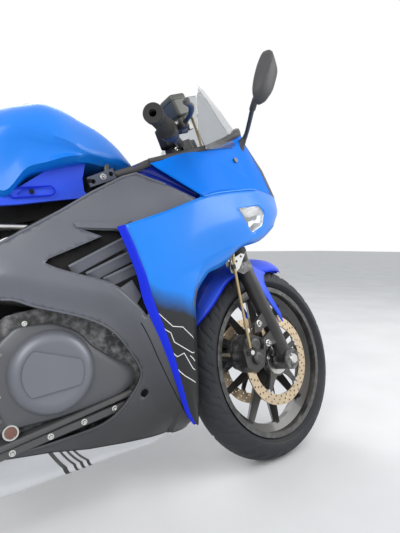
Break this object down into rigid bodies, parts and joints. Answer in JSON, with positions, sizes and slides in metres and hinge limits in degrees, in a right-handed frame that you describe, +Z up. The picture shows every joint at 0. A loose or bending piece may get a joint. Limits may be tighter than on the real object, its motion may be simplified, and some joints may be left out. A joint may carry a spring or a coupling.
{
  "type": "sport motorcycle",
  "caption": "Fully faired sport motorcycle leaning on its side stand, with clip-on bars, perforated brake discs and a two-part seat.",
  "frame": {"origin": "on the floor under the middle of the machine's box, as it leans on its side stand", "axes": "+X forward, +Y to the rider's left, +Z up from the floor"},
  "size_m": [2.0387, 0.7582, 1.1525],
  "materials": {
    "frame_black": "satin black",
    "engine_grey": "dark cast",
    "cover_grey": "dark grey powder coat",
    "radiator_core": "black finned",
    "spring_steel": "black coated",
    "zinc": "zinc plated",
    "blue_paint": "gloss bright blue",
    "deep_blue": "gloss deep blue",
    "seat_vinyl": "grained black",
    "red_lens": "clear red",
    "clear_lens": "clear",
    "smoked_screen": "light smoke",
    "black_plastic": "matte grained",
    "steel_pipe": "heat tinted",
    "muffler_black": "matt black",
    "chain_steel": "oiled",
    "fork_black": "satin black",
    "grip_rubber": "ribbed",
    "hose_braid": "braided under clear sleeve",
    "tyre_rubber": "matt",
    "wheel_black": "gloss black",
    "disc_gold": "gold anodised and ground"
  },
  "bodies": {
    "chassis": {"main_frame": "frame_black", "subframe": "frame_black", "engine": "engine_grey", "clutch_cover": "cover_grey", "generator_cover": "cover_grey", "radiator": "radiator_core", "swingarm": "frame_black", "rear_shock": "spring_steel", "rear_axle": "zinc", "pivot_bolt": "zinc", "fuel_tank": "blue_paint", "tank_side_covers": "blue_paint", "rider_seat": "seat_vinyl", "passenger_seat": "seat_vinyl", "tail_fairing": "blue_paint", "tail_light": "red_lens", "rear_fender": "black_plastic", "nose_fairing": "blue_paint", "headlights": "clear_lens", "wing_panel_right": "blue_paint", "wing_panel_left": "blue_paint", "side_fairing_right": "black_plastic", "side_fairing_left": "black_plastic", "windscreen": "smoked_screen", "belly_pan": "black_plastic", "instrument_panel": "black_plastic", "fairing_stay": "frame_black", "exhaust_pipe": "steel_pipe", "muffler": "muffler_black", "footrests": "zinc", "drive_chain": "chain_steel", "mirror_right": "black_plastic", "mirror_left": "black_plastic", "stand_bracket": "frame_black", "engine_top": "engine_grey", "inner_cowls": "deep_blue", "tank_brackets": "cover_grey", "rear_caliper": "fork_black", "foot_levers": "zinc"},
    "steering": {"fork_legs": "fork_black", "triple_clamps": "fork_black", "handlebars": "fork_black", "grips": "grip_rubber", "brake_master": "fork_black", "clutch_perch": "fork_black", "front_fender": "deep_blue", "front_calipers": "fork_black", "front_axle": "zinc", "brake_hose": "hose_braid", "hose_bracket": "fork_black"},
    "front_wheel": {"front_tyre": "tyre_rubber", "front_rim": "wheel_black", "front_discs": "disc_gold"},
    "rear_wheel": {"rear_tyre": "tyre_rubber", "rear_rim": "wheel_black", "rear_disc": "disc_gold", "rear_sprocket": "chain_steel"},
    "side_stand": {"side_stand": "frame_black"}
  },
  "joints": [
    {"name": "steering", "type": "hinge", "parent": "chassis", "child": "steering", "pos_m": [0.43947, 0.03523, 0.84172], "axis": [-0.4128, 0.1425, 0.8996], "range_deg": [-43, 17]},
    {"name": "front_wheel_spin", "type": "hinge", "parent": "steering", "child": "front_wheel", "pos_m": [0.7314, -0.04485, 0.28583], "axis": [-0.2049, 0.9479, -0.2441], "continuous": true},
    {"name": "rear_wheel_spin", "type": "hinge", "parent": "chassis", "child": "rear_wheel", "pos_m": [-0.62773, -0.04883, 0.31101], "axis": [0, 0.9877, -0.1564], "continuous": true},
    {"name": "side_stand_fold", "type": "hinge", "parent": "chassis", "child": "side_stand", "pos_m": [-0.12984, 0.11769, 0.23092], "axis": [0.0007, 0.9823, 0.1874], "range_deg": [0, 100]}
  ]
}
